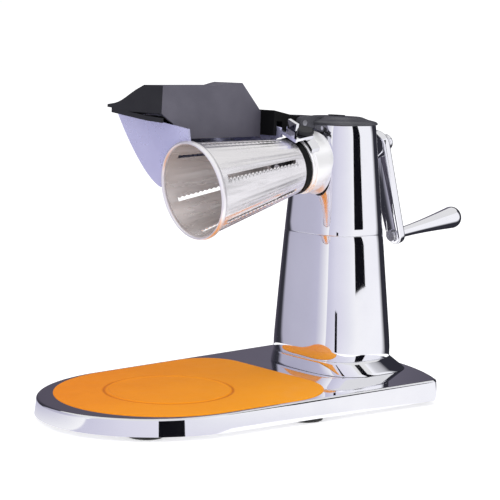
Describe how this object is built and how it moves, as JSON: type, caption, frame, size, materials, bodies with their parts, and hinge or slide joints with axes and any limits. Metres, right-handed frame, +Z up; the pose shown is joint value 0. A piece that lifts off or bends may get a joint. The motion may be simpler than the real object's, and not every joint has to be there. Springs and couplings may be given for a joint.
{
  "type": "rotary cheese grater",
  "caption": "Hand-cranked rotary grater: tapered toothed drum under a side hopper with a hinged food pusher, on a chrome column and a long base with a bowl mat.",
  "frame": {"origin": "on the table under the middle of the rest-pose bounding box", "axes": "+Z up, +X along the base from the drum's mouth towards the crank, +Y towards the hopper's far side"},
  "size_m": [0.4511, 0.2078, 0.2704],
  "materials": {
    "chrome": "polished",
    "polished_steel": "polished sheet",
    "dark_plastic": "fine satin",
    "grey_plastic": "fine texture",
    "orange_mat": "soft satin",
    "black_rubber": "matt",
    "bronze": "oiled",
    "steel": "plain",
    "cast_alloy": "as cast"
  },
  "bodies": {
    "stand": {"base_plate": "chrome", "base_mat": "orange_mat", "rubber_feet": "black_rubber", "foot_screws": "steel", "column_foot": "chrome", "column_lower": "chrome", "column_bolts": "steel", "column_head": "chrome", "joint_ring": "cast_alloy", "tie_rod": "steel", "tie_washer": "steel", "tie_nut": "steel", "shaft_collar": "chrome", "spindle_tube": "cast_alloy", "front_bush": "bronze", "rear_bush": "bronze", "rear_boss": "chrome", "thrust_washer": "bronze", "top_cap": "grey_plastic", "cap_screws": "steel", "pivot_pin": "steel", "hopper_body": "chrome"},
    "rotor": {"drive_shaft": "steel", "drum_cone": "polished_steel", "drum_hub": "dark_plastic", "drum_rivets": "steel", "drum_knob": "dark_plastic", "crank_arm": "chrome", "crank_nut": "chrome", "grip_spindle": "steel"},
    "grip": {"crank_grip": "chrome"},
    "pusher": {"pusher_hood": "grey_plastic", "pusher_block": "dark_plastic"},
    "lock": {"lock_knob": "dark_plastic"}
  },
  "joints": [
    {"name": "crank_spin", "type": "hinge", "parent": "stand", "child": "rotor", "pos_m": [0.056, 0, 0.20702], "axis": [0.986, 0, 0.1668], "continuous": true},
    {"name": "grip_spin", "type": "hinge", "parent": "rotor", "child": "grip", "pos_m": [0.14402, 0, 0.13461], "axis": [0.986, 0, 0.1668], "continuous": true},
    {"name": "pusher_swing", "type": "hinge", "parent": "stand", "child": "pusher", "pos_m": [0.0271, 0.017, 0.237], "axis": [0, 1, 0], "range_deg": [0, 92]},
    {"name": "lock_turn", "type": "hinge", "parent": "stand", "child": "lock", "pos_m": [0.01828, -0.01137, 0.22917], "axis": [-0.1546, -0.3746, 0.9142], "range_deg": [0, 90]}
  ]
}
